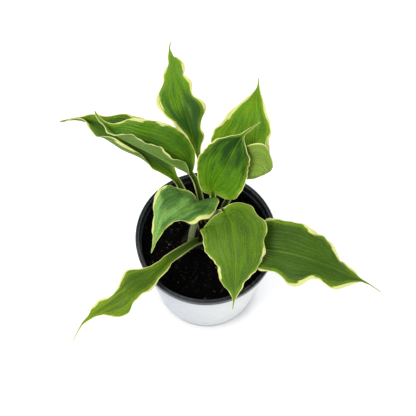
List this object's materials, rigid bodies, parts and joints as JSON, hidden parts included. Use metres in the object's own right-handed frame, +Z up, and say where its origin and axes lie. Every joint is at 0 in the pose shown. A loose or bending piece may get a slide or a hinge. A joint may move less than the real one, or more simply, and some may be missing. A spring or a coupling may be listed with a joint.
{
  "type": "potted hosta plant",
  "caption": "Variegated hosta in a round tapered nursery pot with a blank wrap label: heart-shaped, wavy, cream-edged leaves on channelled petioles rise from a crown in dark potting mix",
  "frame": {"origin": "middle of the pot's base on the surface it stands on", "axes": "+Z up along the pot's axis; -Y is the side the picture was taken from, +X is to the right in the picture"},
  "size_m": [0.3702, 0.3193, 0.2901],
  "materials": {
    "pot": "satin black",
    "label": "pale, blank, semi-matt",
    "potting_mix": "crumbly, near black",
    "crown": "matt",
    "leaf": "satin green with a cream margin"
  },
  "bodies": {
    "root": {"pot": "pot", "pot_label": "label", "potting_mix": "potting_mix", "root_crown": "crown", "leaf_back": "leaf", "leaf_back_right": "leaf", "leaf_centre": "leaf", "leaf_left_upper": "leaf", "leaf_left_under": "leaf", "leaf_centre_left": "leaf", "leaf_front": "leaf", "leaf_right": "leaf", "leaf_front_left": "leaf"}
  },
  "joints": []
}
